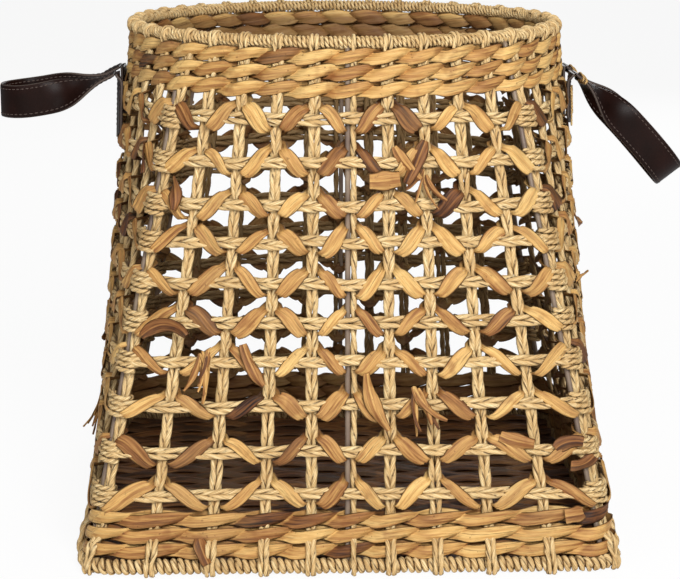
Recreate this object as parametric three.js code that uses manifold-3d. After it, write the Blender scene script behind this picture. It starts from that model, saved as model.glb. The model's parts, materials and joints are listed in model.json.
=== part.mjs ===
// Open-lattice floor basket: seagrass cords and leaf strips on wrapped wire hoops, with two
// leather strap handles. Millimetres, +Z up, the front looks along -Y.
// The origin is the middle of the basket on the surface that it stands on.

import * as THREE from 'three';
import { mergeVertices } from 'three/addons/utils/BufferGeometryUtils.js';
import Module from 'manifold-3d';

const wasm = await Module();
wasm.setup();

// Overall form: a square foot that rises to a round mouth
const RIM_SPACING = 385;          // base rim's centre line to the top rim's
const BASE_HALF_WIDTH = 199;      // basket's middle to the base rim's centre line
const BASE_CORNER_RADIUS = 23;
const TOP_RADIUS = 166.5;         // top rim's centre line
const BASE_RIM_RADIUS = 6.3;      // cord wound over the hoop
const TOP_RIM_RADIUS = 4.4;
const RIM_FACES = 8;              // sides of a hoop's section
const GAP = 0.3;                  // clearance between pieces that lie against each other

// Uprights: 40 places round the wall, a corner at every tenth
const BAYS_PER_SIDE = 10;
const CROWDING = 0.31;            // how much closer the uprights stand at a side's middle
const CORD_DIAMETER = 4.3;
const ROD_DIAMETER = 4;

// Lattice rows: a pair of cords in front of the uprights
const ROW_LEVELS = [0.049, 0.155, 0.265, 0.371, 0.467, 0.561, 0.659, 0.747, 0.850, 0.955];
const ROW_CORNER_DIP = 4;         // the rows run lower at the corner posts

// Leaf strips, one woven through each row
const STRIP_WIDTH = 8.6;
const STRIP_THICKNESS = 1.2;
const STRIP_BACK = 9.5;           // face of the strip behind an upright, from the wall's middle
const STRIP_CORNER_BACK = 12;     // the same behind a corner post
const STRIP_REACH = 2.3;            // where it is out in front, in half widths of the upright
const STRIP_LEAN = 0.2;           // lean of its edges, as a share of what is left of the bay
const TUCK_BAY = 23;              // here the strip is tucked in among its row's cords
const TUCK_DEPTH = 2.5;

// Twined bands of broad leaf next to the rims
const BAND_ROWS = 3;
const BAND_ROW_HEIGHT = 11.7;
const BAND_CREST = 5.8;           // outer crest of a twined row, from the wall's middle
const BAND_VALLEY = 4;
const BAND_INSIDE = 4.8;
const BAND_END = 1.2;             // thickness of the leaf over the uprights' ends

// Woven floor: leaf courses from side to side
const FLOOR_THICKNESS = 5;
const FLOOR_RIPPLE = 1.2;
const FLOOR_COURSES = 10;

// Leather strap handles
const STRAP_WIDTH = 26;
const STRAP_THICKNESS = 2.6;
const STRAP_SPACING = 56;         // between the middles of the two legs
const LEFT_REACH = 96;            // hinge to the far end of the loop
const RIGHT_REACH = 118;
const STRAP_ROOT = [[-0.95, 0.31], [-0.6, 0.8]]; // rounded end, in half thicknesses
const LOOP_TWIST_START = 6;
const LOOP_TWIST_END = 58;        // the strap stands on edge from here on
const LEFT_TAIL = 52;             // from the bend down to the strap's end
const RIGHT_TAIL = 41;
const HINGE_DROP = 38;            // top rim's centre line to the strap's bend
const LEFT_DROOP = 14;            // degrees below level
const RIGHT_DROOP = 46;

// Heights that follow from the sizes above
const PLACES = 4 * BAYS_PER_SIDE;
const BASE_RIM_HEIGHT = BASE_RIM_RADIUS * Math.cos(Math.PI / RIM_FACES);
const TOP_RIM_HEIGHT = BASE_RIM_HEIGHT + RIM_SPACING;
const WALL_LOW = BASE_RIM_HEIGHT + BASE_RIM_RADIUS + GAP;
const WALL_HIGH = TOP_RIM_HEIGHT - TOP_RIM_RADIUS - GAP;
const UPRIGHT_LOW = WALL_LOW + BAND_END + GAP;
const UPRIGHT_HIGH = WALL_HIGH - BAND_END - GAP;
const BAND_HEIGHT = BAND_ROWS * BAND_ROW_HEIGHT;
const BASE_BAND_TOP = WALL_LOW + BAND_HEIGHT;
const TOP_BAND_LOW = WALL_HIGH - BAND_HEIGHT;
const CORD_RADIUS = CORD_DIAMETER / 2;
const ROW_INNER = CORD_RADIUS + GAP;
const ROW_OUTER = ROW_INNER + CORD_DIAMETER;
const STRIP_FRONT = ROW_OUTER + 2 * GAP + STRIP_THICKNESS;

// Finishes
const finish = (color, roughness, metalness = 0) =>
  new THREE.MeshStandardMaterial({ color, roughness, metalness });
const straw = finish(0xd9be8a, 0.75);
const leaf = finish(0xc39a5c, 0.7);
const darkLeaf = finish(0x5f4a30, 0.8);
const wrappedRod = finish(0xb59c78, 0.6);
const leather = finish(0x2e1a16, 0.4);

// Place on the wall. A place is a number of bays from the front left corner, anticlockwise
// from above. The uprights are straight lines from the square foot to the round mouth.
const STRAIGHT_SHARE = 1 - BASE_CORNER_RADIUS / BASE_HALF_WIDTH;
const CORNER_START =
  (Math.sqrt((1 - CROWDING) ** 2 + 4 * CROWDING * STRAIGHT_SHARE) - (1 - CROWDING)) / (2 * CROWDING);

function footPoint(turn) {
  const reach = Math.abs(turn);
  const side = Math.sign(turn);
  if (reach <= CORNER_START) {
    const share = reach * (1 - CROWDING + CROWDING * reach);
    return [side * share * BASE_HALF_WIDTH, BASE_HALF_WIDTH];
  }
  const angle = (Math.PI / 4) * (reach - CORNER_START) / (1 - CORNER_START);
  const middle = BASE_HALF_WIDTH - BASE_CORNER_RADIUS;
  return [
    side * (middle + BASE_CORNER_RADIUS * Math.sin(angle)),
    middle + BASE_CORNER_RADIUS * Math.cos(angle),
  ];
}

function wallPoint(place, height) {
  const wrapped = ((place % PLACES) + PLACES) % PLACES;
  const side = Math.floor(wrapped / BAYS_PER_SIDE);
  const turn = 2 * (wrapped / BAYS_PER_SIDE - side) - 1;
  const [footAlong, footOut] = footPoint(turn);
  const mouthAngle = turn * Math.PI / 4;
  const rise = (height - BASE_RIM_HEIGHT) / RIM_SPACING;
  const along = footAlong + (TOP_RADIUS * Math.sin(mouthAngle) - footAlong) * rise;
  const out = footOut + (TOP_RADIUS * Math.cos(mouthAngle) - footOut) * rise;
  return new THREE.Vector3(along, -out, height).applyAxisAngle(
    new THREE.Vector3(0, 0, 1), side * Math.PI / 2);
}

// Level outward direction of the wall between two places
function bayNormal(from, to, height) {
  const run = wallPoint(to, height).sub(wallPoint(from, height));
  return new THREE.Vector3(run.y, -run.x, 0).normalize();
}

// Step outward at a place where the wall turns. The offset lines stay parallel to the bays,
// and pass clear of an upright's flat front.
function outwardStep(before, place, after, height, out) {
  const first = bayNormal(before, place, height);
  const second = bayNormal(place, after, height);
  const half = Math.acos(Math.min(1, first.dot(second))) / 2;
  const clear = out > 0 ? uprightFlat(place) * Math.tan(half) : 0;
  return first.add(second).normalize().multiplyScalar(out / Math.cos(half) + clear);
}

// Uprights: two cords side by side, or a rod of the frame with its cords
const isCorner = (place) => place % BAYS_PER_SIDE === 0;
const isMiddle = (place) => place % BAYS_PER_SIDE === BAYS_PER_SIDE / 2;
const PAIR_HALF = CORD_DIAMETER;
const MIDDLE_HALF = (ROD_DIAMETER + CORD_DIAMETER) / 2;
const CORNER_HALF = (ROD_DIAMETER + 2 * CORD_DIAMETER) / 2;

function uprightHalf(place) {
  if (isCorner(place)) return CORNER_HALF;
  return isMiddle(place) ? MIDDLE_HALF : PAIR_HALF;
}

// Half the width of an upright's flat front
function uprightFlat(place) {
  const chamfer = isCorner(place) || isMiddle(place) ? ROD_DIAMETER / 4 : CORD_RADIUS;
  return uprightHalf(place) - chamfer;
}

// Section of an upright, [along the wall, outward]
function pairSection() {
  const tip = PAIR_HALF;
  const thick = CORD_RADIUS;
  return [[-tip, 0], [thick - tip, -thick], [tip - thick, -thick],
    [tip, 0], [tip - thick, thick], [thick - tip, thick]];
}

function postSection(half) {
  const thick = CORD_RADIUS;
  const rod = ROD_DIAMETER / 2;
  const neck = ROD_DIAMETER - half;
  const waist = rod / 2;
  return [[-half, 0], [waist - half, -rod], [neck - waist, -rod], [neck, -waist],
    [neck + waist, -thick], [half - thick, -thick], [half, 0], [half - thick, thick],
    [neck + waist, thick], [neck, waist], [neck - waist, rod], [waist - half, rod]];
}

function uprightSection(place) {
  if (isCorner(place) || isMiddle(place)) return postSection(uprightHalf(place));
  return pairSection();
}

// Closed solid through a list of sections, each a list of points in the same order. The
// sections run clockwise as seen from the solid's far end.
function loft(sections, closed) {
  const count = sections[0].length;
  const corners = sections.flat();
  const positions = corners.flatMap((point) => [point.x, point.y, point.z]);
  const index = [];
  const last = closed ? sections.length : sections.length - 1;
  for (let s = 0; s < last; s += 1) {
    const here = s * count;
    const next = ((s + 1) % sections.length) * count;
    for (let p = 0; p < count; p += 1) {
      const q = (p + 1) % count;
      const [a, b, c, d] = [here + p, next + p, next + q, here + q];
      if (corners[a].distanceTo(corners[c]) <= corners[b].distanceTo(corners[d])) {
        index.push(a, c, d, a, b, c);
      } else {
        index.push(a, b, d, b, c, d);
      }
    }
  }
  if (!closed) {
    const outline = flatOutline(sections[0]);
    const end = (sections.length - 1) * count;
    for (const [a, b, c] of THREE.ShapeUtils.triangulateShape(outline, [])) {
      index.push(a, b, c);
      index.push(end + a, end + c, end + b);
    }
  }
  const geometry = new THREE.BufferGeometry();
  geometry.setAttribute('position', new THREE.Float32BufferAttribute(positions, 3));
  geometry.setIndex(index);
  return geometry;
}

// A flat section's points in its own plane, anticlockwise
function flatOutline(section) {
  const normal = new THREE.Vector3();
  for (let p = 0; p < section.length; p += 1) {
    normal.add(section[p].clone().cross(section[(p + 1) % section.length]));
  }
  normal.normalize();
  const right = section[1].clone().sub(section[0]);
  right.addScaledVector(normal, -right.dot(normal)).normalize();
  const up = normal.clone().cross(right);
  return section.map((point) => new THREE.Vector2(point.dot(right), point.dot(up)));
}

function uprightSolid(place, heights, section) {
  const levels = heights.map((height) => {
    const out = bayNormal(place - 1, place + 1, height);
    const along = new THREE.Vector3(-out.y, out.x, 0);
    const middle = wallPoint(place, height);
    return section.map(([a, o]) =>
      middle.clone().addScaledVector(along, a).addScaledVector(out, o));
  });
  return loft(levels, false);
}

// The places before and after one of a ring's
function beside(places, i) {
  return [places.at(i - 1), places[(i + 1) % places.length]];
}

// Ring round the wall. The section's points are [outward, height], anticlockwise with
// outward to the right. The ring passes through each place in turn, lower by the dip there.
function ringSolid(places, section, dip) {
  const sections = places.map((place, i) => {
    const [before, after] = beside(places, i);
    return section.map(([out, height]) => {
      const z = height - dip(place);
      return wallPoint(place, z).add(outwardStep(before, place, after, z, out));
    });
  });
  return loft(sections, true);
}

const everyPlace = Array.from({ length: PLACES }, (_, place) => place);
const noDip = () => 0;

// Places for a ring that follows the foot's round corners too
function cornerPlaces(withUprights) {
  const bend = (1 - CORNER_START) * BAYS_PER_SIDE / 2;
  const bends = withUprights ? [bend] : [bend / 2, bend];
  const places = [];
  for (let side = 0; side < 4; side += 1) {
    const start = side * BAYS_PER_SIDE;
    const end = start + BAYS_PER_SIDE;
    places.push(start, ...bends.map((step) => start + step));
    if (withUprights) {
      for (let bay = 1; bay < BAYS_PER_SIDE; bay += 1) places.push(start + bay);
    }
    places.push(...bends.map((step) => end - step).reverse());
  }
  return places;
}

// Solids joined or cut
function welded(geometry) {
  geometry.deleteAttribute('normal');
  geometry.deleteAttribute('uv');
  return mergeVertices(geometry);
}

function toManifold(geometry) {
  return new wasm.Manifold(new wasm.Mesh({
    numProp: 3,
    vertProperties: new Float32Array(geometry.getAttribute('position').array),
    triVerts: new Uint32Array(geometry.getIndex().array),
  }));
}

function toGeometry(solid) {
  const mesh = solid.getMesh();
  const geometry = new THREE.BufferGeometry();
  geometry.setAttribute('position', new THREE.Float32BufferAttribute(mesh.vertProperties, 3));
  geometry.setIndex(Array.from(mesh.triVerts));
  return geometry;
}

// Rims: hoops with cord wound over them, with a flat underneath
function hoopSolid(places, radius, height) {
  const sections = places.map((place, i) => {
    const out = bayNormal(...beside(places, i), height);
    const middle = wallPoint(place, height);
    return Array.from({ length: RIM_FACES }, (_, corner) => {
      const angle = (2 * corner + 1) * Math.PI / RIM_FACES;
      return middle.clone().addScaledVector(out, radius * Math.cos(angle))
        .setZ(height + radius * Math.sin(angle));
    });
  });
  return loft(sections, true);
}

// Base: the wrapped hoop with the floor woven on to it
function wovenBase() {
  const hoop = hoopSolid(cornerPlaces(false), BASE_RIM_RADIUS, BASE_RIM_HEIGHT);
  const size = 2 * BASE_HALF_WIDTH;
  const pitch = size / FLOOR_COURSES;
  const ripple = new THREE.Shape();
  const edge = FLOOR_THICKNESS / 2 - FLOOR_RIPPLE;
  ripple.moveTo(-BASE_HALF_WIDTH, -edge);
  for (let course = 0; course < FLOOR_COURSES; course += 1) {
    const start = course * pitch - BASE_HALF_WIDTH;
    ripple.lineTo(start + pitch / 2, -FLOOR_THICKNESS / 2);
    ripple.lineTo(start + pitch, -edge);
  }
  ripple.lineTo(BASE_HALF_WIDTH, edge);
  for (let course = FLOOR_COURSES; course > 0; course -= 1) {
    const start = course * pitch - BASE_HALF_WIDTH;
    ripple.lineTo(start - pitch / 2, FLOOR_THICKNESS / 2);
    if (course > 1) ripple.lineTo(start - pitch, edge);
  }
  ripple.lineTo(-BASE_HALF_WIDTH, edge);
  const courses = new THREE.ExtrudeGeometry(ripple, { depth: size, bevelEnabled: false });
  courses.translate(0, 0, -BASE_HALF_WIDTH);
  courses.rotateX(Math.PI / 2);
  courses.rotateZ(Math.PI / 2);
  courses.translate(0, 0, BASE_RIM_HEIGHT);
  const outline = new THREE.Shape();
  cornerPlaces(false).forEach((place, i) => {
    const point = wallPoint(place, BASE_RIM_HEIGHT);
    if (i === 0) outline.moveTo(point.x, point.y);
    else outline.lineTo(point.x, point.y);
  });
  const plate = new THREE.ExtrudeGeometry(outline, { depth: 2 * BASE_RIM_RADIUS, bevelEnabled: false });
  const floor = toManifold(welded(courses)).intersect(toManifold(welded(plate)));
  return toGeometry(toManifold(hoop).add(floor));
}

// Bands: twined rows of leaf, with a wall on each side of the uprights. The two walls join
// over the uprights' ends, next to the hoop.
function bandSolid(places, hoopEnd, way) {
  const slot = CORD_RADIUS + GAP;
  const level = (share) => hoopEnd + way * share * BAND_ROW_HEIGHT;
  const shut = hoopEnd + way * BAND_END;
  const open = level(BAND_ROWS);
  const section = [[-BAND_INSIDE, hoopEnd], [BAND_VALLEY, hoopEnd]];
  for (let row = 0; row < BAND_ROWS; row += 1) {
    section.push([BAND_CREST, level(row + 0.5)]);
    if (row < BAND_ROWS - 1) section.push([BAND_VALLEY, level(row + 1)]);
  }
  section.push([slot, open], [slot, shut], [-slot, shut], [-slot, open], [-BAND_INSIDE, open]);
  return ringSolid(places, way > 0 ? section : section.reverse(), noDip);
}

// Lattice rows
function rowHeight(row, place) {
  const flat = BASE_BAND_TOP + ROW_LEVELS[row] * (TOP_BAND_LOW - BASE_BAND_TOP);
  return flat - rowDip(place);
}

function rowDip(place) {
  const turn = 2 * (place % BAYS_PER_SIDE) / BAYS_PER_SIDE - 1;
  return ROW_CORNER_DIP * turn * turn;
}

function rowCords(row) {
  const middle = rowHeight(row, BAYS_PER_SIDE / 2);
  const half = CORD_DIAMETER;
  const section = [[ROW_INNER, middle - half], [ROW_OUTER, middle - half],
    [ROW_OUTER, middle + half], [ROW_INNER, middle + half]];
  return ringSolid(everyPlace, section, rowDip);
}

function latticeRow(row) {
  const strip = loft(stripStations(row), true);
  return toGeometry(toManifold(rowCords(row)).add(toManifold(strip)));
}

// A strip passes behind an upright, comes out beside it, and crosses the row's cords on the
// slant. It passes above and below the row in turn, out of step with the next row.
function stripSpace(row, place, isAbove) {
  const height = rowHeight(row, place);
  const top = row === ROW_LEVELS.length - 1;
  if (isAbove) return top ? TOP_BAND_LOW - height : (rowHeight(row + 1, place) - height) / 2;
  return row === 0 ? height - BASE_BAND_TOP : (height - rowHeight(row - 1, place)) / 2;
}

function stripAt(row, place, isAbove) {
  const inner = CORD_DIAMETER + GAP;
  const half = Math.min(STRIP_WIDTH, stripSpace(row, place, isAbove) - GAP - inner) / 2;
  return { half, height: rowHeight(row, place) + (isAbove ? inner + half : -inner - half) };
}

function stripBack(place) {
  return isCorner(place) ? STRIP_CORNER_BACK : STRIP_BACK;
}

function stripStations(row) {
  return everyPlace.flatMap((place) => {
    const isAbove = (row + place) % 2 === 0;
    const ends = [place, place + 1];
    const level = rowHeight(row, place + 0.5);
    const length = wallPoint(place, level).distanceTo(wallPoint(place + 1, level));
    const reaches = ends.map((end) => STRIP_REACH * uprightHalf(end));
    const lean = STRIP_LEAN * (length - reaches[0] - reaches[1]);
    const depth = place === TUCK_BAY ? TUCK_DEPTH : 0;
    const front = (at, above) => {
      const share = at / length;
      const { half, height } = stripAt(row, place + share, above);
      const [start, end] = ends.map((upright) => wallPoint(upright, height)
        .add(outwardStep(upright - 1, upright, upright + 1, height, STRIP_FRONT)));
      const out = bayNormal(place, place + 1, height);
      const slant = new THREE.Vector3(-out.y, out.x, 0).multiplyScalar(isAbove ? lean : -lean);
      return stripStation(start.lerp(end, share).addScaledVector(out, -depth), slant.setZ(half), out);
    };
    const { half, height } = stripAt(row, place, isAbove);
    const step = outwardStep(place - 1, place, place + 1, height, -stripBack(place));
    const back = wallPoint(place, height).add(step);
    return [
      stripStation(back, new THREE.Vector3(0, 0, half), step.normalize().negate()),
      front(reaches[0] + lean, isAbove),
      front(length - reaches[1] - lean, !isAbove),
    ];
  });
}

function stripStation(middle, across, out) {
  return [
    middle.clone().sub(across),
    middle.clone().add(across),
    middle.clone().addScaledVector(out, -STRIP_THICKNESS),
  ];
}

// Handles
function strapSolid(stations) {
  const sections = stations.map(({ middle, wide, thick, full = 1 }) => {
    const w = wide.clone().multiplyScalar(STRAP_WIDTH / 2);
    const t = thick.clone().multiplyScalar(STRAP_THICKNESS / 2 * full);
    return [
      middle.clone().sub(w).sub(t), middle.clone().sub(w).add(t),
      middle.clone().add(w).add(t), middle.clone().add(w).sub(t),
    ];
  });
  return loft(sections, false);
}

// Loop in its own frame: hinge axis along Y, outward along +X. It leaves the hinge flat,
// turns a quarter on to its edge, and rounds the far end.
function loopStations(reach) {
  const legStations = STRAP_ROOT.map(([along, full]) => [along * STRAP_THICKNESS / 2, full]);
  legStations.push([0, 1], [LOOP_TWIST_START, 1]);
  const twistSteps = 7;
  for (let step = 1; step <= twistSteps; step += 1) {
    const share = step / twistSteps;
    legStations.push([THREE.MathUtils.lerp(LOOP_TWIST_START, LOOP_TWIST_END, share), 1]);
  }
  const radius = STRAP_SPACING / 2;
  const straight = reach - radius;
  const up = new THREE.Vector3(0, 0, 1);
  const leg = (side) => legStations.map(([x, full]) => {
    const share = THREE.MathUtils.smoothstep(x, LOOP_TWIST_START, LOOP_TWIST_END);
    const angle = share * Math.PI / 2;
    return {
      middle: new THREE.Vector3(x, side * radius, 0),
      wide: new THREE.Vector3(0, -side * Math.cos(angle), Math.sin(angle)),
      thick: new THREE.Vector3(0, side * Math.sin(angle), Math.cos(angle)).multiplyScalar(-1),
      full,
    };
  });
  const bend = [];
  const bendSteps = 10;
  for (let step = 0; step <= bendSteps; step += 1) {
    const angle = Math.PI / 2 - Math.PI * step / bendSteps;
    const out = new THREE.Vector3(Math.cos(angle), Math.sin(angle), 0);
    bend.push({
      middle: new THREE.Vector3(straight, 0, 0).addScaledVector(out, radius),
      wide: up,
      thick: out.multiplyScalar(-1),
    });
  }
  return [...leg(1), ...bend, ...leg(-1).reverse()];
}

const TAIL_OUT = STRIP_FRONT + GAP;
const HINGE_HEIGHT = TOP_RIM_HEIGHT - HINGE_DROP;

// Outside of the lattice in front of a handle's legs, level with a height
function seatAt(height) {
  const nextToMiddle = 1.5 * BAYS_PER_SIDE + 0.5;
  return wallPoint(nextToMiddle, height).x + TAIL_OUT;
}

const HINGE_X = seatAt(HINGE_HEIGHT) + 1.5 * STRAP_THICKNESS + GAP;

function handleLoop(name, side, reach, droop) {
  const mesh = new THREE.Mesh(strapSolid(loopStations(reach)), leather);
  mesh.name = name;
  mesh.position.set(side * HINGE_X, 0, HINGE_HEIGHT);
  mesh.rotation.set(0, THREE.MathUtils.degToRad(droop), side > 0 ? 0 : Math.PI, 'ZYX');
  return mesh;
}

function handleTail(name, side, end, length) {
  const wide = new THREE.Vector3(0, side, 0);
  const y = end * STRAP_SPACING / 2;
  const stations = [HINGE_HEIGHT - length, HINGE_HEIGHT].map((height) => ({
    middle: new THREE.Vector3(side * (seatAt(height) + STRAP_THICKNESS / 2), y, height),
    wide,
    thick: new THREE.Vector3(-side, 0, 0),
  }));
  const mesh = new THREE.Mesh(strapSolid(stations), leather);
  mesh.name = name;
  return mesh;
}

// Assembly
const group = new THREE.Group();

function add(name, geometry, material) {
  const mesh = new THREE.Mesh(geometry, material);
  mesh.name = name;
  group.add(mesh);
}

const SIDES = ['front', 'right', 'back', 'left'];
const CORNERS = ['front_left', 'front_right', 'back_right', 'back_left'];

for (const place of everyPlace) {
  const side = Math.floor(place / BAYS_PER_SIDE);
  const heights = [UPRIGHT_LOW, UPRIGHT_HIGH];
  const solid = uprightSolid(place, heights, uprightSection(place));
  if (isCorner(place)) add(`corner_post_${CORNERS[side]}`, solid, wrappedRod);
  else if (isMiddle(place)) add(`side_post_${SIDES[side]}`, solid, wrappedRod);
  else add(`stake_${SIDES[side]}_${place % BAYS_PER_SIDE}`, solid, straw);
}

ROW_LEVELS.forEach((_, row) => {
  add(`lattice_row_${String(row + 1).padStart(2, '0')}`, latticeRow(row), straw);
});

add('base_band', bandSolid(cornerPlaces(true), WALL_LOW, 1), leaf);
add('top_band', bandSolid(everyPlace, WALL_HIGH, -1), leaf);
add('top_rim', hoopSolid(everyPlace, TOP_RIM_RADIUS, TOP_RIM_HEIGHT), straw);
add('woven_base', wovenBase(), darkLeaf);

group.add(handleLoop('left_handle_loop', -1, LEFT_REACH, LEFT_DROOP));
group.add(handleLoop('right_handle_loop', 1, RIGHT_REACH, RIGHT_DROOP));
for (const [name, side, length] of [['left', -1, LEFT_TAIL], ['right', 1, RIGHT_TAIL]]) {
  group.add(handleTail(`${name}_handle_front_end`, side, -1, length));
  group.add(handleTail(`${name}_handle_rear_end`, side, 1, length));
}

export default group;
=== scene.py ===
import json
import math

import bpy
import numpy as np
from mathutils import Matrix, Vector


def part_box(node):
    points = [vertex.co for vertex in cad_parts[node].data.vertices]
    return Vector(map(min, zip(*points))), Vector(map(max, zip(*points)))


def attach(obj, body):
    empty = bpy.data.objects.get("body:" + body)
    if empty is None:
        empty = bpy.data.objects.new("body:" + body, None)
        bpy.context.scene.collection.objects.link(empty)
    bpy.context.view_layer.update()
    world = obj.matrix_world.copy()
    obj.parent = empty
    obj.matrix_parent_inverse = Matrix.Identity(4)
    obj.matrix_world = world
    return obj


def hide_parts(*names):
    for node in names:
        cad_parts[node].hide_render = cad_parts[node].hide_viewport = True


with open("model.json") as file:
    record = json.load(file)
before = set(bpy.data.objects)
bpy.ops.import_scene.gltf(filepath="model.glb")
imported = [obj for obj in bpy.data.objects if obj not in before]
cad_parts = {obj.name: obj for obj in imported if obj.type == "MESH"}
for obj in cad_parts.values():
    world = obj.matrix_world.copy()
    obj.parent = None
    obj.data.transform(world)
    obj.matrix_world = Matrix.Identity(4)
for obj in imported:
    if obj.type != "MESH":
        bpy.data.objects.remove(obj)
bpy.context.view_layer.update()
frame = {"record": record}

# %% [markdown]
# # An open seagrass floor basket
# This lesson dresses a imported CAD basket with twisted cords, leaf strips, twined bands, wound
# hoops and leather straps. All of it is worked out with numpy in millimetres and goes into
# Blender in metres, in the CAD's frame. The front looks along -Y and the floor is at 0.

UP = np.array([0, 0, 1.0])
draws = np.random.default_rng
join = np.concatenate
scene = bpy.context.scene

# %% [markdown]
# ## The wall
# The real basket rises from a square foot with round corners to a round mouth, over straight
# uprights. A place on the wall is a number of bays from the front left corner, counted
# anticlockwise from above, and there are 40. The wall is one function of place and height,
# so each cord or leaf is a short line of offsets from it.

# %% The wall's sizes and function
RIM_SPACING = 385.0
BASE_HALF = 199.0
CORNER_RADIUS = 23.0
TOP_RADIUS = 166.5
BASE_RIM_RADIUS = 6.3
TOP_RIM_RADIUS = 4.4
BAYS = 10
PLACES = 4 * BAYS
CROWDING = 0.31
BASE_LEVEL = BASE_RIM_RADIUS * math.cos(math.pi / 8)
TOP_LEVEL = BASE_LEVEL + RIM_SPACING
STRAIGHT_SHARE = 1 - CORNER_RADIUS / BASE_HALF
CORNER_START = (math.sqrt((1 - CROWDING) ** 2 + 4 * CROWDING * STRAIGHT_SHARE)
                - (1 - CROWDING)) / (2 * CROWDING)


def wall(place, height):
    """Point on the wall. A side's foot is straight, with places at W r (1 - c + c r) from its
    middle, and then rounds the corner. Straight lines join it to the mouth's quarter circle."""
    place, height = np.broadcast_arrays(place, height)
    side = np.floor(np.mod(place, PLACES) / BAYS)
    turn = 2 * (np.mod(place, PLACES) / BAYS - side) - 1
    reach = np.abs(turn)
    middle = BASE_HALF - CORNER_RADIUS
    bend = np.pi / 4 * np.clip((reach - CORNER_START) / (1 - CORNER_START), 0, 1)
    flat = reach * (1 - CROWDING + CROWDING * reach) * BASE_HALF
    straight = reach <= CORNER_START
    rounded = middle + CORNER_RADIUS * np.sin(bend)
    foot_along = np.sign(turn) * np.where(straight, flat, rounded)
    foot_out = np.where(straight, BASE_HALF, middle + CORNER_RADIUS * np.cos(bend))
    rise = (height - BASE_LEVEL) / RIM_SPACING
    along = foot_along + (TOP_RADIUS * np.sin(turn * np.pi / 4) - foot_along) * rise
    out = foot_out + (TOP_RADIUS * np.cos(turn * np.pi / 4) - foot_out) * rise
    heading = side * np.pi / 2
    x = along * np.cos(heading) + out * np.sin(heading)
    y = along * np.sin(heading) - out * np.cos(heading)
    return np.stack([x, y, height], -1)


def unit(vectors):
    """Vectors divided by their own length."""
    return vectors / np.maximum(np.linalg.norm(vectors, axis=-1, keepdims=True), 1e-9)


def smooth(share):
    """3 s^2 - 2 s^3 for a share held between 0 and 1."""
    share = np.clip(share, 0, 1)
    return share ** 2 * (3 - 2 * share)


def outward(place, height):
    """Level direction out of the wall: across the line from half a bay before to half after."""
    return unit(np.cross(wall(place + 0.5, height) - wall(place - 0.5, height), UP))


def sideways(out):
    """Level direction along the wall, the way that places are counted."""
    return np.cross(UP, out)


def on_wall(place, height, out):
    """The wall's point at that place and height, moved outward."""
    return wall(place, height) + outward(place, height) * out[..., None]


foot = wall(np.arange(PLACES), BASE_LEVEL)
print("foot width, mm:", round(float(np.ptp(foot[:, 0])), 1))

# %% [markdown]
# ## From arrays to meshes
# Each piece is a set of skins: sections of a few points carried along a path, with their
# faces worked out as whole arrays. A closed ring joins its last section to its first, and an
# open one gets a face over each end. Three point attributes go with them. Grain is a length
# along the fibre and a place across it, so that streaks follow a twisted cord. Tint picks a
# leaf's colour, and shade is 0 in the creases and 1 on the crests.

# %% Skins
def full_turn(count):
    """Angles at equal steps round a circle."""
    return 2 * np.pi * np.arange(count) / count


def circle(angle):
    """(cos, sin) of each angle."""
    return np.stack([np.cos(angle), np.sin(angle)], -1)


def walked(path):
    """Length along the path at each of its points."""
    step = np.linalg.norm(np.diff(path, axis=0), axis=1)
    return join([[0], np.cumsum(step)])


def frame_along(path, hint, ring=False):
    """Two directions square to the path: one square to both, and one near the hint."""
    if ring:
        tangent = np.roll(path, -1, axis=0) - np.roll(path, 1, axis=0)
    else:
        tangent = np.gradient(path, axis=0)
    tangent = unit(tangent)
    lift = unit(hint - (hint * tangent).sum(-1, keepdims=True) * tangent)
    return np.cross(tangent, lift), lift


def skin(path, across, lift, section, ring=False, tint=0.5, shade=1.0):
    """Point = path + a * across + b * lift, with (a, b) from the section. The section is one
    list of points or one list for each station. Returns points, grain, tint and shade."""
    section = np.broadcast_to(section, (len(path),) + section.shape[-2:])
    points = (path[:, None] + section[..., :1] * across[:, None]
              + section[..., 1:2] * lift[:, None])
    shape = points.shape[:2] + (1,)
    length = np.broadcast_to(walked(path)[:, None, None], shape)
    return {"points": points, "grain": join([length, section], -1), "ring": ring,
            "tint": np.broadcast_to(np.reshape(tint, (-1, 1, 1)), shape),
            "shade": np.broadcast_to(np.asarray(shade)[..., None], shape)}


def swept(path, hint, section, ring=False, tint=0.5, shade=1.0):
    """A skin whose sections stand square to the path, their second axis near the hint."""
    across, lift = frame_along(path, hint, ring)
    return skin(path, across, lift, section, ring, tint, shade)


# %% Pieces
materials = {}


def faces_of(rows, around, ring, start):
    """Quads between neighbouring sections, and one face over each end of an open skin."""
    u = np.arange(rows if ring else rows - 1)[:, None]
    v = np.arange(around)[None]
    corners = [(u, v), (u, v + 1), (u + 1, v + 1), (u + 1, v)]
    quads = np.stack([(a % rows) * around + b % around for a, b in corners], -1).reshape(-1, 4)
    caps = [] if ring else [np.arange(around)[::-1], (rows - 1) * around + np.arange(around)]
    return quads + start, [cap + start for cap in caps]


def put(name, data):
    """A new object in the scene."""
    made = bpy.data.objects.new(name, data)
    scene.collection.objects.link(made)
    return made


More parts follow.
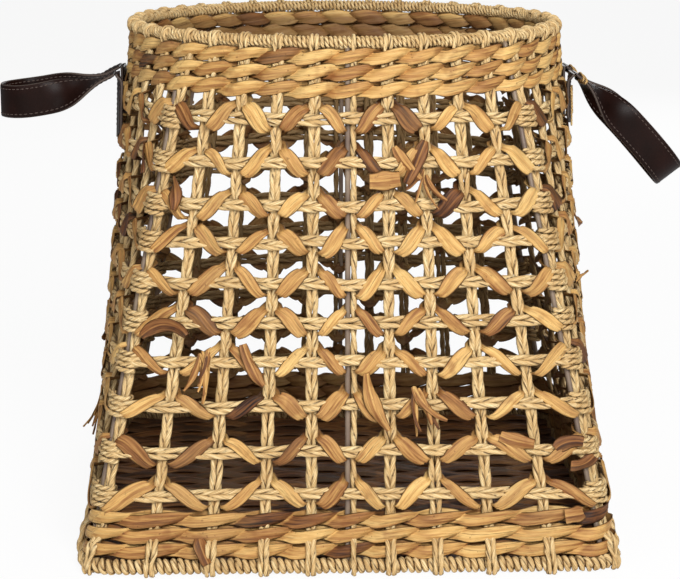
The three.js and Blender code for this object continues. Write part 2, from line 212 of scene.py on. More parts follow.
def piece(name, skins, finish="twisted_seagrass", replaced=(),
          body="basket"):
    """One mesh object from its skins, in metres, with its finish and body."""
    quads, caps, start = [], [], 0
    for part in skins:
        rows, around = part["points"].shape[:2]
        some, ends = faces_of(rows, around, part["ring"], start)
        quads.append(some)
        caps += ends
        start += rows * around
    quads = join(quads)
    corners = join([quads.ravel(), *caps])
    totals = join([np.full(len(quads), 4), [len(cap) for cap in caps]]).astype(int)
    mesh = bpy.data.meshes.new(name)
    mesh.vertices.add(start)
    mesh.loops.add(len(corners))
    mesh.polygons.add(len(totals))
    stacked = {key: join([part[key].reshape(-1, part[key].shape[-1])
                                    for part in skins])
               for key in ("points", "grain", "tint", "shade")}
    mesh.vertices.foreach_set("co", (stacked["points"] / 1000).ravel())
    mesh.loops.foreach_set("vertex_index", corners)
    mesh.polygons.foreach_set("loop_start", np.cumsum(totals) - totals)
    mesh.polygons.foreach_set("use_smooth", totals == 4)
    mesh.update(calc_edges=True)
    for key, kind, field in (("grain", "FLOAT_VECTOR", "vector"), ("tint", "FLOAT", "value"),
                             ("shade", "FLOAT", "value")):
        mesh.attributes.new(key, kind, "POINT").data.foreach_set(field, stacked[key].ravel())
    mesh.validate()
    made = put(name, mesh)
    mesh.materials.append(materials[finish])
    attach(made, body)
    if replaced:
        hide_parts(*replaced)


# %% [markdown]
# ## Finishes
# Colours are what the eye reads off the real thing, as sRGB hex, turned to the linear values
# that Blender mixes.

# %% Colour and node helpers
def linear(code):
    """sRGB to linear: c / 12.92 in the darks, ((c + 0.055) / 1.055) to the 2.4 above."""
    srgb = np.array([int(code[i:i + 2], 16) / 255 for i in (1, 3, 5)])
    rgb = np.where(srgb <= 0.04045, srgb / 12.92, ((srgb + 0.055) / 1.055) ** 2.4)
    return (*(float(v) for v in rgb), 1.0)


def add(tree, kind, inputs=None, **settings):
    """Adds a node, sets what it is told, and fills or links its inputs."""
    made = tree.nodes.new("ShaderNode" + kind)
    for key, value in settings.items():
        setattr(made, key, value)
    for key, value in (inputs or {}).items():
        if isinstance(value, bpy.types.NodeSocket):
            tree.links.new(value, made.inputs[key])
        else:
            made.inputs[key].default_value = value
    return made


def empty_tree(holder):
    """The node tree of a material or a world, cleared."""
    holder.use_nodes = True
    holder.node_tree.nodes.clear()
    return holder.node_tree


def new_material(name):
    """The empty tree of a new material, which is kept under its name."""
    materials[name] = bpy.data.materials.new(name)
    return empty_tree(materials[name])


def surface(tree, inputs):
    """Ends a material with one Principled shader that has those inputs."""
    shader = add(tree, "BsdfPrincipled", inputs)
    add(tree, "OutputMaterial", {"Surface": shader.outputs["BSDF"]})


def attributes(tree):
    """A point's grain, tint and shade."""
    grain, tint, shade = (add(tree, "Attribute", attribute_name=name).outputs
                          for name in ("grain", "tint", "shade"))
    return grain["Vector"], tint["Fac"], shade["Fac"]


def ramp(tree, value, stops):
    """Colours between stops, each a place from 0 to 1 and a hex colour."""
    made = add(tree, "ValToRGB", {"Fac": value})
    band = made.color_ramp
    while len(band.elements) < len(stops):
        band.elements.new(0.5)
    for element, (place, code) in zip(band.elements, stops):
        element.position = place
        element.color = linear(code)
    return made.outputs["Color"]


def streaks(tree, grain, size, detail=4.0):
    """Noise whose size is (along, across, across) in mm, from 0 to 1."""
    place = add(tree, "Mapping", {"Vector": grain, "Scale": [1 / s for s in size]})
    return add(tree, "TexNoise", {"Vector": place.outputs["Vector"], "Scale": 1.0,
                                  "Detail": detail, "Roughness": 0.6}).outputs["Fac"]


def blotches(tree, size, detail=2.0):
    """Noise in the object's own space with patches of that size in mm."""
    where = add(tree, "TexCoord").outputs["Object"]
    return add(tree, "TexNoise", {"Vector": where, "Scale": 1000 / size,
                                  "Detail": detail}).outputs["Fac"]


def sharpen(tree, value, low, high, to_low=0.0, to_high=1.0):
    """Maps low..high on to to_low..to_high."""
    return add(tree, "MapRange", {"Value": value, "From Min": low, "From Max": high,
                                  "To Min": to_low, "To Max": to_high}).outputs["Result"]


def calc(tree, operation, *values, kind="Math"):
    """The first output of a sum on values, or on vectors."""
    return add(tree, kind, dict(enumerate(values)), operation=operation).outputs[0]


def mix(tree, share, first, second, way="MIX"):
    """Two colours mixed by a share. The node's inputs 6 and 7 and its output 2 are colours."""
    return add(tree, "Mix", {0: share, 6: first, 7: second}, data_type="RGBA",
               blend_type=way).outputs[2]


def stained(tree, colour, layers):
    """Mixes more colours in, one after another. A layer is its hex colour, the value that it
    follows, the values where it is absent and full, its share when full, and the blend."""
    for code, value, absent, full, share, *way in layers:
        colour = mix(tree, sharpen(tree, value, absent, full, 0.0, share), colour,
                     linear(code), *way)
    return colour


def bump(tree, height, strength, depth):
    """A normal that follows the height, by up to that depth in mm."""
    return add(tree, "Bump", {"Height": height, "Strength": strength,
                              "Distance": depth / 1000}).outputs["Normal"]


def painted_inner_shade(tree):
    """1 where a surface looks at the basket's axis, 0 where it looks away from it and on the top
    rim, which lies in the light. The finishes paint the inner side's shade by it."""
    where = add(tree, "TexCoord").outputs
    level = calc(tree, "MULTIPLY", where["Object"], (1.0, 1.0, 0.0), kind="VectorMath")
    away = calc(tree, "NORMALIZE", level, kind="VectorMath")
    dot = add(tree, "VectorMath", {0: away, 1: where["Normal"]}, operation="DOT_PRODUCT")
    height = add(tree, "SeparateXYZ", {"Vector": where["Object"]}).outputs["Z"]
    return calc(tree, "MULTIPLY", sharpen(tree, dot.outputs["Value"], 0.1, -0.5),
                sharpen(tree, height, 0.386, 0.380))


# %% [markdown]
# ### Twisted seagrass cord
# Seagrass is sun-dried sedge leaf, twisted into two plies and then into cord. The eye gets
# pale straw with fine fibres along each ply and a dull, waxy gloss. The creases and the inner
# side get painted shade.
# The fibres are 0.5 mm wide on the real cord and are drawn 0.7 mm wide so that they show.

# %% Cord finish
LEAF_IOR = 1.45


def cord_finish(name, dark, middle, light, crease):
    """Fibre streaks between three colours, with shade painted into the creases and, browner, on
    the inner side.
    """
    tree = new_material(name)
    grain, tint, shade = attributes(tree)
    fibre = streaks(tree, grain, (16.0, 0.7, 0.7))
    ticks = streaks(tree, grain, (6.0, 0.6, 0.6), 2.0)
    open_here = sharpen(tree, streaks(tree, grain, (6.0, 40.0, 40.0), 2.0), 0.42, 0.6, 0.1)
    painted_crease_shade = calc(tree, "MULTIPLY", open_here, sharpen(tree, shade, 0.82, 0.70))
    colour = ramp(tree, fibre, [(0.30, dark), (0.48, middle), (0.66, light)])
    # Painted shade: the crease colour goes into the creases, and a dark brown on the inner side.
    colour = stained(tree, colour, [("#A67F4C", blotches(tree, 26.0), 0.45, 0.75, 0.5),
                                    ("#7A5430", tint, 0.5, 1.0, 0.9),
                                    (crease, ticks, 0.60, 0.68, 0.6),
                                    (crease, painted_crease_shade, 0.0, 1.0, 1.0),
                                    ("#5A4022", painted_inner_shade(tree), 0.0, 1.0, 0.8)])
    surface(tree, {"Base Color": colour, "Normal": bump(tree, fibre, 0.4, 0.4),
                   "Roughness": 0.65, "IOR": LEAF_IOR, "Specular IOR Level": 0.25})


cord_finish("twisted_seagrass", "#A47F4F", "#C9A873", "#E6D1A2", "#472E17")
cord_finish("split_raffia", "#A67F4B", "#C9A66C", "#E2C892", "#6A4725")

# %% [markdown]
# ### Seagrass leaf
# The strips and the twined bands are whole flat leaf. Each leaf has its own colour, from
# gold over tan to nearly black where it was wet too long. Veins run along it about 1.6 mm
# apart, and it has brown stains and small specks. Shade is painted on its edges and inner side.

# %% Leaf finish
def leaf_finish(name):
    """The tint attribute picks the colour, streaks along the grain vary it."""
    tree = new_material(name)
    grain, tint, shade = attributes(tree)
    vein = streaks(tree, grain, (30.0, 1.6, 4.0))
    wide = streaks(tree, grain, (45.0, 4.0, 6.0), 2.0)
    fine = streaks(tree, grain, (12.0, 0.5, 3.0), 3.0)
    grey = streaks(tree, grain, (60.0, 30.0, 30.0), 1.0)
    pick = tint
    for noise in (wide, vein):
        pick = calc(tree, "ADD", pick, sharpen(tree, noise, 0.3, 0.7, -0.2, 0.2))
    colour = ramp(tree, pick, [(0.0, "#DDB774"), (0.2, "#C99D5D"), (0.4, "#AE8049"),
                               (0.58, "#8A5B31"), (0.78, "#5E381D"), (1.0, "#241510")])
    # Painted shade: a dark brown on the edges, where the shade attribute is low, and on the inner
    # side.
    colour = stained(tree, colour, [("#8C7450", grey, 0.45, 0.7, 0.25),
                                    ("#8A5C2E", fine, 0.52, 0.72, 0.45, "MULTIPLY"),
                                    ("#6A4522", vein, 0.45, 0.33, 0.75),
                                    ("#7D4B25", blotches(tree, 18.0, 3.0), 0.58, 0.70, 0.5),
                                    ("#5B351C", blotches(tree, 3.0, 4.0), 0.66, 0.74, 0.6),
                                    ("#432811", shade, 0.7, 0.0, 0.9),
                                    ("#5B3C20", painted_inner_shade(tree), 0.0, 1.0, 0.7)])
    surface(tree, {"Base Color": colour, "Normal": bump(tree, vein, 0.7, 0.9),
                   "Roughness": 0.6, "IOR": LEAF_IOR, "Specular IOR Level": 0.3})


leaf_finish("seagrass_leaf")

# %% [markdown]
# ### Wound rods, thread and leather
# The wire rods are wound with thin brown leaf, which reads as a smooth grey-brown tube. The
# thread is waxed polyester. The straps are chrome-tanned leather: nearly black brown, with
# grain 0.9 mm across and a low sheen. A grey highlight is painted along their edges.

# %% Rod, thread and leather finishes
LEATHER_GRAIN = 0.9


def drifting(tree, first, second):
    """A colour that drifts to another in patches of 22 mm."""
    share = sharpen(tree, blotches(tree, 22.0, 3.0), 0.35, 0.7)
    return mix(tree, share, linear(first), linear(second))


def plain_finish(name, first, second, roughness):
    """Two drifting colours."""
    tree = new_material(name)
    surface(tree, {"Base Color": drifting(tree, first, second), "Roughness": roughness})


def leather_finish(name):
    """Small round bumps for the grain, and a painted grey highlight on the edges where the shade
    is 0.
    """
    tree = new_material(name)
    _, _, shade = attributes(tree)
    colour = drifting(tree, "#140704", "#1E0D09")
    # Painted highlight: a grey line along the strap's edges, where the shade is 0.
    colour = stained(tree, colour, [("#564C46", shade, 0.6, 0.0, 1.0)])
    where = add(tree, "TexCoord").outputs["Object"]
    cells = add(tree, "TexVoronoi", {"Vector": where, "Scale": 1000 / LEATHER_GRAIN},
                feature="SMOOTH_F1")
    surface(tree, {"Base Color": colour, "Roughness": 0.42, "Specular IOR Level": 0.1,
                   "Normal": bump(tree, cells.outputs["Distance"], 0.6, 0.08)})


plain_finish("grey_brown_rod", "#67564A", "#85735F", 0.42)
plain_finish("waxed_thread", "#463730", "#463730", 0.6)
leather_finish("dark_leather")
print("finishes:", sorted(materials))

# %% [markdown]
# ## Cords
# A 2-ply cord is two round strands that turn about each other. So its section is two circles
# side by side, which turn along the path. The mesh turns too, so a crease stays clean.

# %% Two-ply cord
CORD_RADIUS = 2.5
CORD_GAP = 4.2
CORD_LAY = 32.0
CORD_STEP = 2.1
STRAND_SHARE = 0.73
PLY_POINTS = 12


def two_ply(path, hint, radius=CORD_RADIUS, lay=CORD_LAY, start=0.0, ring=False, tint=0.5,
            taper=1.0):
    """r(angle) = c |cos| + sqrt(a^2 - c^2 sin^2): two circles of radius a, their middles c
    from the cord's. The whole outline turns once for each lay, the other way if negative,
    and grows and shrinks by a twentieth along the cord."""
    strand = STRAND_SHARE * radius
    offset = radius - strand
    angle = full_turn(PLY_POINTS)
    reach = offset * np.abs(np.cos(angle)) + np.sqrt(strand ** 2
                                                     - (offset * np.sin(angle)) ** 2)
    length = walked(path)
    if ring:
        whole = length[-1] + np.linalg.norm(path[-1] - path[0])
        lay = whole / round(whole / lay)
    turned = angle[None] + (2 * np.pi * length / lay + start)[:, None]
    swell = taper * (1 + 0.05 * np.sin(length / 7 + start) * np.sin(length / 3.1 + start))
    section = swell[:, None, None] * reach[None, :, None] * circle(turned)
    made = swept(path, hint, section, ring, tint, (reach / reach.max())[None])
    made["grain"][..., 1:] = reach[:, None] * circle(angle) + 37 * start
    return made


def wander(count, seed, size, waves=7):
    """A smooth random line of that size: a sum of sines with random phases."""
    rng = draws(seed)
    t = np.linspace(0, 2 * np.pi, count, endpoint=False)
    return size * sum(rng.normal() / w * np.sin(w * t + rng.uniform(0, 6.28))
                      for w in range(1, waves))


def per_place(seed, size, places):
    """A random value at each whole place, joined by a smooth step."""
    values = draws(seed).normal(0, size, PLACES)
    low = np.floor(places).astype(int)
    share = smooth(places - low)
    return values[low % PLACES] * (1 - share) + values[(low + 1) % PLACES] * share


# %% [markdown]
# ## Uprights
# There are forty. A stake is two cords side by side, twisted opposite ways. A side's middle
# and a corner have a wire rod of the frame with one or two cords to its right. The cords
# hook over the top hoop. At the foot they come out between the leaf courses, cross the
# lowest one and lie round the base hoop.

# %% Stakes and posts
HOOP_GAP = 0.3
UPRIGHT_LOW = BASE_LEVEL + BASE_RIM_RADIUS + HOOP_GAP
UPRIGHT_HIGH = TOP_LEVEL - TOP_RIM_RADIUS - HOOP_GAP
ROD_RADIUS = 2.0
SIDE_ROD_SHIFT = -2.3
CORNER_HALF = 6.3
FOOT_OUT = 6.2
SIDES = ["front", "right", "back", "left"]
CORNERS = ["front_left", "front_right", "back_right", "back_left"]


def hook(hub, out, radius, first, last, count):
    """Points on an upright arc round a hub, from first to last half turns above level."""
    angle = np.linspace(first, last, count)[:, None] * np.pi
    return hub + radius * (np.cos(angle) * out + np.sin(angle) * UP)


def upright_cord(place, shift, seed, twist):
    """The path goes round the base hoop, up the wall and over the top hoop."""
    heights = np.arange(UPRIGHT_LOW + 1, TOP_LEVEL - 9, CORD_STEP)
    out = outward(place, heights)
    along = sideways(out)
    side = shift + wander(len(heights), seed, 0.3)
    leaning = FOOT_OUT * smooth((UPRIGHT_LOW + 17 - heights) / 9)
    leaning = leaning + wander(len(heights), seed + 5, 0.25)
    path = wall(place, heights) + along * side[:, None] + out * leaning[:, None]
    under = hook(wall(place, BASE_LEVEL) + along[0] * shift, out[0],
                 BASE_RIM_RADIUS + 1.3, -0.2, 0.22, 7)
    over = hook(wall(place, TOP_LEVEL) + along[-1] * shift * 0.85, out[-1],
                TOP_RIM_RADIUS + 0.4, -0.15, 0.8, 9)
    taper = join([np.full(len(under), 0.86), np.ones(len(path) - 2),
                            np.linspace(0.76, 0.6, len(over))])
    path = join([under, path[2:], over])
    return two_ply(path, along[0], lay=twist * CORD_LAY, start=seed * 1.7, tint=0.4, taper=taper)


def upright_rod(place, shift):
    """A round rod between the hoops."""
    heights = np.arange(UPRIGHT_LOW - 2, UPRIGHT_HIGH + 3, 6.0)
    along = sideways(outward(place, heights))
    path = wall(place, heights) + along * shift
    return swept(path, along, ROD_RADIUS * circle(full_turn(14)), tint=0.45)


for place in range(PLACES):
    side, step = divmod(place, BAYS)
    if step == 0:
        name = f"corner_post_{CORNERS[side]}"
        shifts = [CORNER_HALF - 1.5 * CORD_GAP, CORNER_HALF - 0.5 * CORD_GAP]
        rods = [ROD_RADIUS - CORNER_HALF]
    elif step == BAYS // 2:
        name = f"side_post_{SIDES[side]}"
        shifts = [CORD_GAP / 2]
        rods = [SIDE_ROD_SHIFT]
    else:
        name = f"stake_{SIDES[side]}_{step}"
        shifts = [-CORD_GAP / 2, CORD_GAP / 2]
        rods = []
    cords = [upright_cord(place, shift, 11 * place + 3 * n, (-1) ** n)
             for n, shift in enumerate(shifts)]
    piece(f"{name}_cords", cords, replaced=[name])
    if rods:
        piece(f"{name}_rod", [upright_rod(place, shift) for shift in rods], "grey_brown_rod")
print("uprights:", PLACES)

# %% [markdown]
# ## Lattice rows
# Ten pairs of cord run round the outside of the uprights. Each pair dips a little at the
# corner posts and is drawn in between the uprights, where a leaf strip holds it down.

# %% Row cords
ROW_LEVELS = [0.049, 0.155, 0.265, 0.371, 0.467, 0.561, 0.659, 0.747, 0.850, 0.955]
ROWS = len(ROW_LEVELS)
COURSES = 3
COURSE_HEIGHT = 11.7
BAND_HEIGHT = COURSES * COURSE_HEIGHT
BASE_BAND_TOP = UPRIGHT_LOW + BAND_HEIGHT
TOP_BAND_LOW = UPRIGHT_HIGH - BAND_HEIGHT
ROW_OUT = 5.0
ROW_DRAWN_IN = 1.8
ROW_CORNER_DIP = 4.0
MOUTH_HALF = TOP_RADIUS * 0.8


def row_height(row, place):
    """The row's level, less a dip that grows with the square of the way to a corner."""
    turn = 2 * np.mod(place, BAYS) / BAYS - 1
    level = BASE_BAND_TOP + ROW_LEVELS[row] * (TOP_BAND_LOW - BASE_BAND_TOP)
    return level - ROW_CORNER_DIP * turn ** 2


def ring_places(height, step):
    """Places round the wall at steps of about that many mm. The mouth counts as a square
    that is about as long round."""
    half = BASE_HALF + (MOUTH_HALF - BASE_HALF) * height / RIM_SPACING
    count = int(8 * half / step)
    return np.arange(count) * PLACES / count


def row_cord(row, upper):
    """One of a row's two cords: out = row's middle, less a little between the uprights."""
    places = ring_places(row_height(row, BAYS // 2), CORD_STEP)
    sign = 1 if upper else -1
    height = row_height(row, places) + sign * CORD_GAP / 2 + per_place(300 + row, 0.7, places)
    height = height + wander(len(places), 400 + 2 * row + upper, 0.3, 40)
    between = np.sin(np.pi * places) ** 2
    path = on_wall(places, height, ROW_OUT - ROW_DRAWN_IN * between)
    return two_ply(path, UP, lay=sign * CORD_LAY, start=row + 2 * upper, ring=True, tint=0.4)


for row in range(ROWS):
    name = f"lattice_row_{row + 1:02d}"
    piece(f"{name}_cords", [row_cord(row, False), row_cord(row, True)], replaced=[name])
print("row cords:", 2 * ROWS)

# %% [markdown]
# At each corner a row's cords wind three and a half times round the post, which makes a lump
# as high as three cords.

# %% Corner windings
WINDING_TURNS = 3.5
WINDING_RISE = 4.1
WINDING_ALONG = 8.4
WINDING_FLATTER = 2.2
WINDING_OUT = 1.4


def winding(place, row):
    """A flattened helix: along = A cos, out = (A - F) sin, one cord's width up for each turn."""
    angle = np.linspace(0, 2 * np.pi * WINDING_TURNS, 100)
    level = row_height(row, place) + WINDING_RISE * (angle / (2 * np.pi) - WINDING_TURNS / 2)
    out = outward(place, level)
    radial = sideways(out) * np.cos(angle)[:, None] + out * np.sin(angle)[:, None]
    path = wall(place, level) + out * WINDING_OUT + radial * WINDING_ALONG
    path = path - out * (WINDING_FLATTER * np.sin(angle))[:, None]
    return two_ply(path, radial, 2.1, 13.0, start=row, tint=0.45)


for side, corner in enumerate(CORNERS):
    piece(f"corner_winding_{corner}", [winding(side * BAYS, row) for row in range(ROWS)])
print("corner windings:", 4 * ROWS)

# %% [markdown]
# ## Leaf strips
# One flat strip of leaf goes round with each row: behind an upright, over the row on the
# slant and behind the next upright, above and below the row in turn. Neighbouring rows are
# out of step, which makes the oval openings. The strip is wide behind an upright, narrower
# where it comes out, and opens over the row. Every stretch has its own colour.

# %% Leaf section and strips
STRIP_BEHIND = 5.4
STRIP_FRONT = 6.5
STRIP_RISE = 9.4
STRIP_HALF = 6.1
STRIP_STEP = 1.6
TUCKED = 3.0
LEAF_THICK = 0.4
LEAF_POINTS = 11


def leaf_section(half, thick, curl, folds, phase, depth=0.3):
    """A thin lens, q from -1 to 1 across it: thickness 1 - q^2, edges bent back by the curl
    times q^2, and lengthwise folds of that depth, cos(folds pi q + phase)."""
    q = np.linspace(-1, 1, LEAF_POINTS)
    half, curl, phase = (np.reshape(v, (-1, 1)) for v in np.broadcast_arrays(half, curl, phase))
    fold = depth * np.cos(folds * np.pi * q + phase) * (1 - q ** 2) - curl * q ** 2
    face = thick * (1.1 - q ** 2)
    front = np.stack([half * q, fold + face], -1)
    back = np.stack([half * q, fold - face], -1)
    return join([front, back[:, -2:0:-1]], 1)


def leaf_shade(section):
    """1 in the middle of a leaf, falling to 0 in its outer quarter. The leaf finish paints shade
    on the edges by it.
    """
    reach = np.abs(section[..., 0])
    q = reach / np.maximum(reach.max(1, keepdims=True), 1e-6)
    return 1 - np.clip((q - 0.75) / 0.25, 0, 1)


def leaf(path, hint, section, tint, ring=False, dim=1.0):
    """A strip of leaf along a path, its face towards the hint, with painted shade where dim is
    low.
    """
    across, lift = frame_along(path, hint, ring)
    shade = leaf_shade(section) * np.reshape(dim, (-1, 1))
    return skin(path, -across, lift, section[:, ::-1], ring, tint, shade[:, ::-1])


def leaf_tints(rng, base, spread, dark_share):
    """Forty tints, mostly gold and tan, with a share of dark ones."""
    tints = rng.normal(base, spread, PLACES).clip(0.04, 0.6)
    return np.where(rng.random(PLACES) < dark_share, rng.uniform(0.55, 0.85, PLACES), tints)


def strip(row):
    """out = behind near an upright, front between; rise = cosine from above to below. Each
    bay has its own width, curl, folds and tint, which change behind the uprights."""
    places = ring_places(row_height(row, BAYS // 2), STRIP_STEP)
    rng = draws(700 + row)
    bay = np.floor(places).astype(int) % PLACES
    level = row_height(row, places)
    bay_length = np.linalg.norm(wall(bay + 1, level) - wall(bay, level), axis=-1)
    way = places - np.floor(places)
    near = np.minimum(way, 1 - way) * bay_length

    def way_between(margin):
        """The way through a bay from 0 to 1, less a margin at each upright."""
        return np.clip((way * bay_length - margin) / (bay_length - 2 * margin), 0, 1)

    swing = np.cos(np.pi * way_between(3.4) ** rng.uniform(0.8, 1.25, PLACES)[bay])
    swing = swing * (2 * ((bay + row) % 2) - 1)
    rise = (STRIP_RISE + per_place(90 + row, 1.2, places)) * swing
    height = level + rise + wander(len(places), 90 + row, 0.3, 30)
    out = (STRIP_FRONT + STRIP_BEHIND) * smooth((near - TUCKED) / 4.0) - STRIP_BEHIND
    open_out = np.sin(np.pi * way_between(2.5))
    petal = 0.46 + 0.54 * open_out ** 1.2 + 0.66 * smooth(1 - near / 5.5)
    half = STRIP_HALF * petal * rng.uniform(0.72, 1.22, PLACES)[bay]
    section = leaf_section(half, LEAF_THICK, rng.uniform(-0.2, 2.4, PLACES)[bay] * open_out,
                           3.4, rng.uniform(0, 6.28, PLACES)[bay], 0.6)
    lean = 0.5 * swing + rng.uniform(-0.3, 0.3, PLACES)[bay] * open_out
    hint = outward(places, height) + lean[:, None] * UP
    # Painted shade: the strip gets darker near each upright, where it goes behind it.
    dim = 0.35 + 0.65 * smooth((near - TUCKED) / 6.0)
    return leaf(on_wall(places, height, out), hint, section,
                leaf_tints(rng, 0.29, 0.11, 0.11)[bay], True, dim)


for row in range(ROWS):
    piece(f"leaf_strip_{row + 1:02d}", [strip(row)], "seagrass_leaf")
print("leaf strips:", ROWS)

# %% [markdown]
# ## Twined bands
# Next to each rim, three courses are twined: two leaves go round the wall together and swap
# sides between the uprights, a little high on the way in and a little low on the way out. So
# each shows outside every second upright, as a long slanted lens that climbs to the right.

# %% Twined courses
TWINE_OUT = 3.9
TWINE_UP = 1.2
TWINE_HALF = 6.2
TWINE_SKEW = 1.2


def twined_leaf(level, which, seed, tint, swell):
    """With u = sin(pi t): out = F (sin(cos(pi t) pi / 2) + swell), up = H u, and the half
    width is W (1 - u^4 / 3), least where the two leaves cross. A point is then moved on by S
    times its height above the middle line, so that two leaves meet on the slant."""
    places = ring_places(level, CORD_STEP)
    phase = np.pi * (places - which)
    rise = np.sin(phase)
    height = level + TWINE_UP * rise + per_place(seed + 7, 0.35, places)
    out = TWINE_OUT * (np.sin(np.pi / 2 * np.cos(phase)) + swell)
    rng = draws(seed)
    bay = np.floor(places - which + 0.5).astype(int) % PLACES
    half = TWINE_HALF * (1 - rise ** 4 / 3) * rng.uniform(0.93, 1.06, PLACES)[bay]
    section = leaf_section(half, LEAF_THICK, 0.5, 2.2, rng.uniform(0, 6.28, PLACES)[bay])
    tints = leaf_tints(rng, *tint)[bay]
    path = on_wall(places, height, out)
    facing = outward(places, height)
    made = leaf(path, facing, section, tints, True)
    above = made["points"][..., 2:] - path[:, None, 2:]
    made["points"] = made["points"] + TWINE_SKEW * above * sideways(facing)[:, None]
    return made


def band(name, low, seed, tints):
    """Three courses of two leaves each, the first a little fuller than the second."""
    levels = [low + (course + 0.5) * BAND_HEIGHT / COURSES for course in range(COURSES)]
    skins = [twined_leaf(level, which, seed + 20 * n + which, tints[which],
                         0.1 * (1 - 2 * which))
             for n, level in enumerate(levels) for which in (0, 1)]
    piece(f"{name}_leaves", skins, "seagrass_leaf", [name])


band("top_band", TOP_BAND_LOW + 0.5, 40, ((0.1, 0.07, 0.03), (0.36, 0.08, 0.06)))
band("base_band", UPRIGHT_LOW, 160, ((0.24, 0.12, 0.1), (0.38, 0.14, 0.12)))

# %% [markdown]
# ## Hoops
# Each wire hoop is wound closely with 2-ply cord, in a helix bent round the hoop. A plain
# dark core fills it from within and is painted with the full crease shade, as it shows only in
# the shaded gaps between the turns.

# %% Wound hoops
POINTS_A_TURN = 18
CORE_STEP = 24


def even_places(level, turns):
    """Places at equal lengths round a hoop."""
    even = np.linspace(0, PLACES, 4001)
    around = walked(wall(even, level))
    count = turns * POINTS_A_TURN
    return np.interp(np.arange(count) / count * around[-1], around, even)


def wound_hoop(level, hoop_radius, cord_radius, pitch, lay, places):
    """A helix of radius r about the hoop's centre line, one turn for each pitch."""
    centre = wall(places, level)
    turns = round(walked(centre)[-1] / pitch)
    angle = 2 * np.pi * turns * np.arange(len(places)) / len(places)
    reach = hoop_radius - cord_radius
    radial = np.cos(angle)[:, None] * outward(places, level) - np.sin(angle)[:, None] * UP
    core = places[::CORE_STEP]
    section = (reach - 0.35 * cord_radius) * circle(full_turn(12))
    # The core's tint 0.9 and shade 0.3 give it a dark brown and the full painted crease shade.
    inner = swept(wall(core, level), outward(core, level), section, True, 0.9, 0.3)
    return [two_ply(centre + reach * radial, radial, cord_radius, lay, ring=True), inner]


top_hoop = wound_hoop(TOP_LEVEL, 4.9, 1.6, 3.25, 10.0, even_places(TOP_LEVEL, 322))
piece("top_rim_wound_cord", top_hoop, replaced=["top_rim"])
base_hoop = wound_hoop(BASE_LEVEL + 0.5, 6.4, 2.5, 5.3, 19.0, even_places(BASE_LEVEL, 293))
piece("base_rim_wound_cord", base_hoop)
print("hoops wound:", 2)

# %% [markdown]
# ## Floor
# The floor is flat dark leaf, woven over and under cross leaf from side to side; its dark also
# stands in as painted shade for the inside of the basket. Each course is a strip that goes up
# and down with a sine, out of step with the next.

# %% Woven floor
FLOOR_COURSES = 26
FLOOR_HALF = BASE_HALF - 3
FLOOR_WAVE = 60
STRETCHES = 7


def floor_course(number):
    """height = a small sine along the course, in step with every second course."""
    x = np.linspace(-FLOOR_HALF, FLOOR_HALF, 20 * STRETCHES)
    y = -FLOOR_HALF + (number + 0.5) * 2 * FLOOR_HALF / FLOOR_COURSES
    wave = np.sin(2 * np.pi * x / FLOOR_WAVE + np.pi * number)
    path = np.stack([x, y + 0.8 * wave, BASE_LEVEL + 1.4 * wave], -1)
    rng = draws(950 + number)
    stretch = np.arange(len(x)) // 20
    half = 8.6 + wander(len(x), 900 + number, 0.3, 20)
    section = leaf_section(half, 0.8, 1.2, 2.6, rng.uniform(0, 6.28, STRETCHES)[stretch])
    # Tints from 0.58 to 1 draw the courses dark: dark leaf, and also painted shade for the floor
    # seen through the lower rows.
    return leaf(path, UP, section, rng.uniform(0.58, 1.0, STRETCHES)[stretch])


def floor_backing():
    """A thin even sheet of cross leaf under the courses, so that no light comes through."""
    x = np.linspace(-FLOOR_HALF, FLOOR_HALF, 60)
    path = np.stack([x, 0 * x, 0 * x + BASE_LEVEL - 2.2], -1)
    y = np.linspace(-FLOOR_HALF, FLOOR_HALF, 80)
    ribs = 0.5 * np.sin(2 * np.pi * y / 9)
    section = join([np.stack([y, ribs + 0.5], -1), np.stack([y, ribs - 0.5], -1)[::-1]])
    across, lift = frame_along(path, UP)
    return skin(path, -across, lift, section[::-1], tint=0.75, shade=0.8)


piece("woven_floor", [floor_course(n) for n in range(FLOOR_COURSES)] + [floor_backing()],
      "seagrass_leaf", ["woven_base"])
print("floor courses:", FLOOR_COURSES)

# %% [markdown]
# ## Loose ends
# The weaver leaves cut and torn leaf ends on the outside. Each one starts on the wall, runs
# off at an angle, in degrees up from the right, and lifts away. Some are torn into a tuft of
# thin strips.

# %% Loose ends of leaf
LOOSE_OUT = 7.0


def loose_leaf(place, height, angle, length, half, tint, lift, turn, blunt, seed):
    """s from 0 to 1: the heading turns by turn * s, out = 7 + lift s^1.6, and the half width
    is a sine that stays wide at the end when blunt is 1."""
    share = np.linspace(0, 1, 26)
    heading = np.radians(angle + turn * share)
    step = length / (len(share) - 1)
    run = np.cumsum(np.cos(heading)) * step
    climb = np.cumsum(np.sin(heading)) * step
    start = wall(place, height)
    out = outward(place, height)
    along = sideways(out)
    rise = wall(place, height + 1) - start
    lifted = LOOSE_OUT + lift * share ** 1.6
    path = start + run[:, None] * along + climb[:, None] * rise + lifted[:, None] * out
    taper = np.sin(np.pi * (0.12 + 0.8 * share)) ** 0.7
    width = half * (taper * (1 - blunt) + blunt) * (1 + 0.1 * np.sin(8 * share + 2 * seed))
    section = leaf_section(width, LEAF_THICK, 1.6 * share * half / 5, 3.1, 5.0 * seed)
    hint = out + 0.8 * np.sin(3 * share + seed)[:, None] * along
    return leaf(path, hint, section, tint + 0.12 * share)


def tuft(place, height, angle, count, seed):
    """Thin torn strips that fan out from one point."""
    rng = draws(seed)
    return [loose_leaf(place + rng.uniform(-0.1, 0.1), height + rng.uniform(-3, 3),
                       angle + rng.uniform(-26, 26), rng.uniform(18, 34), rng.uniform(1.2, 3.0),
                       rng.uniform(0.15, 0.6), rng.uniform(2, 12), rng.uniform(-60, 60), 0.0, n)
            for n in range(count)]


